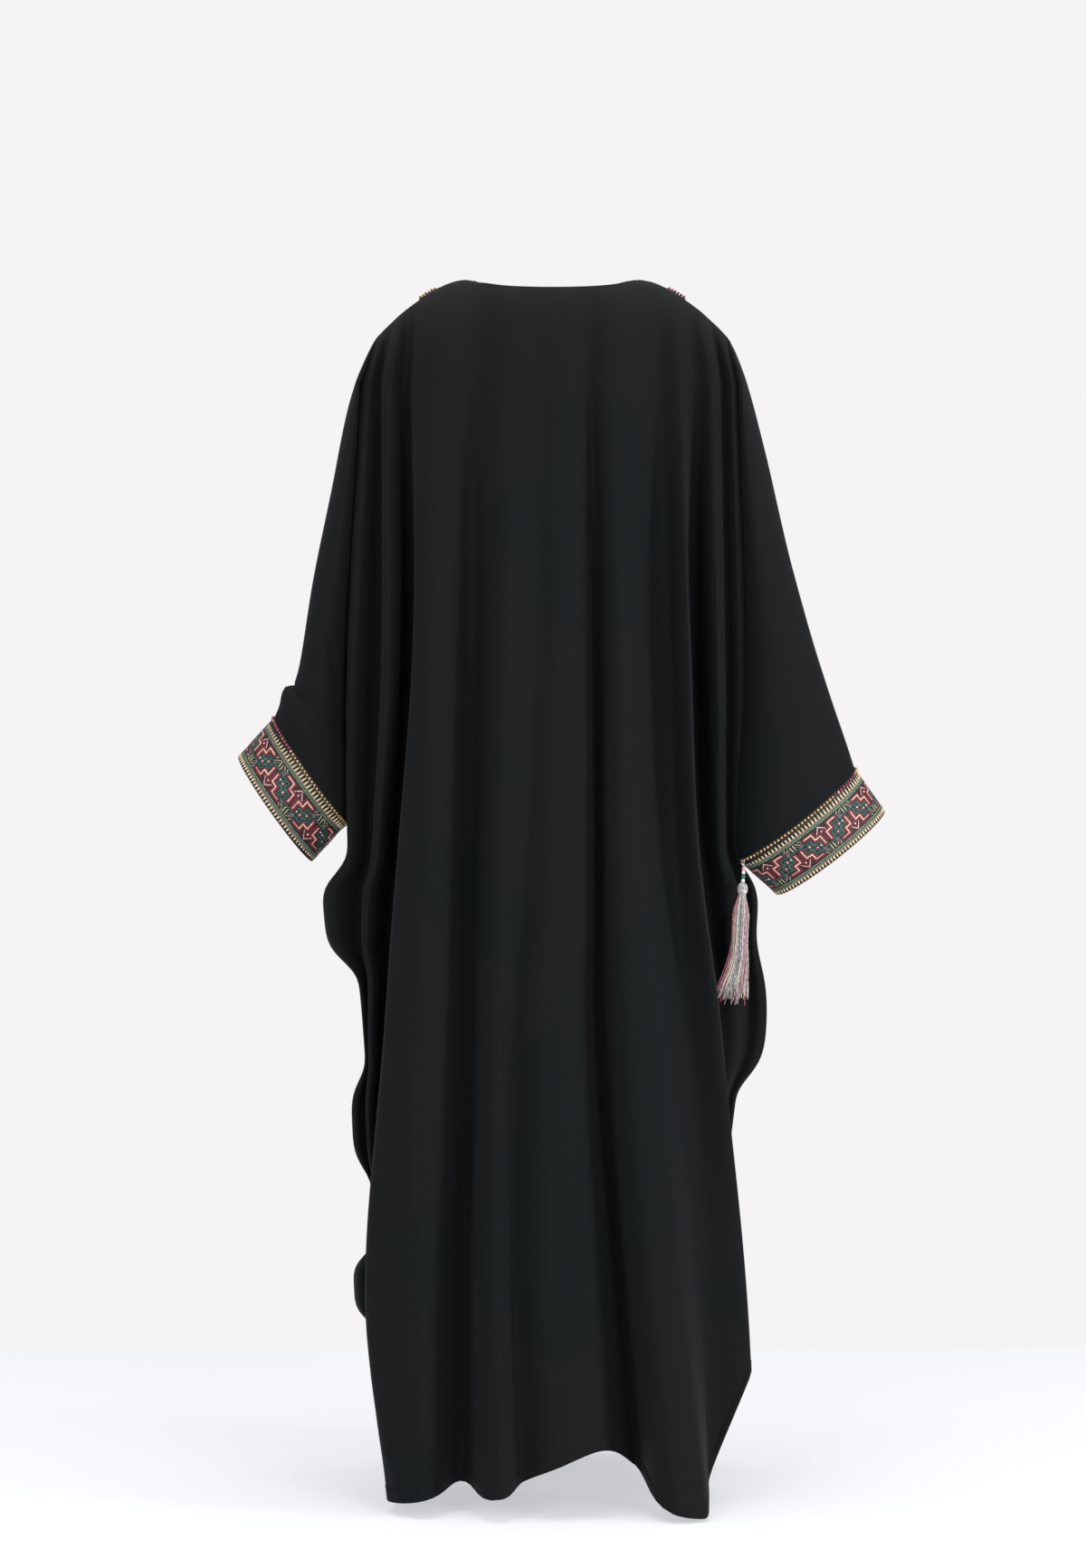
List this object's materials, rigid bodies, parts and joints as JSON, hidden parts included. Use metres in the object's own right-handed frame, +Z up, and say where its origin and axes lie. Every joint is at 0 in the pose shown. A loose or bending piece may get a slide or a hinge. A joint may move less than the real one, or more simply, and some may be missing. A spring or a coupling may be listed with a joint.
{
  "type": "batwing abaya",
  "caption": "loose full-length black robe with sleeves cut in one with the body, embroidered cuffs and a tassel, in its worn hollow form",
  "frame": {"origin": "the middle of the neck opening, level with the tops of the shoulders, where the wearer holds the robe up", "axes": "+Z up, +Y the way the wearer faces (the front panel), +X to the wearer's right seen from behind (the side of the cuff with the tassel)"},
  "size_m": [0.7667, 0.5213, 1.431],
  "materials": {
    "black_crepe": "matte crepe with a soft sheen",
    "embroidered_trim": "dense thread embroidery in burgundy, salmon, teal and ivory on black",
    "tassel_silk": "satin thread, silver grey with rose and cream strands",
    "glass_beads": "polished glass"
  },
  "bodies": {
    "root": {"back_panel": "black_crepe", "front_panel": "black_crepe", "cuff_band_left": "embroidered_trim", "cuff_band_right": "embroidered_trim", "shoulder_band_left": "embroidered_trim", "shoulder_band_right": "embroidered_trim", "tassel_bead_rose": "glass_beads", "tassel_bead_pearl": "glass_beads", "tassel_bead_green": "glass_beads", "tassel_bead_pearl_low": "glass_beads", "tassel_head": "tassel_silk", "tassel_skirt": "tassel_silk", "tassel_cord": "tassel_silk"}
  },
  "joints": []
}
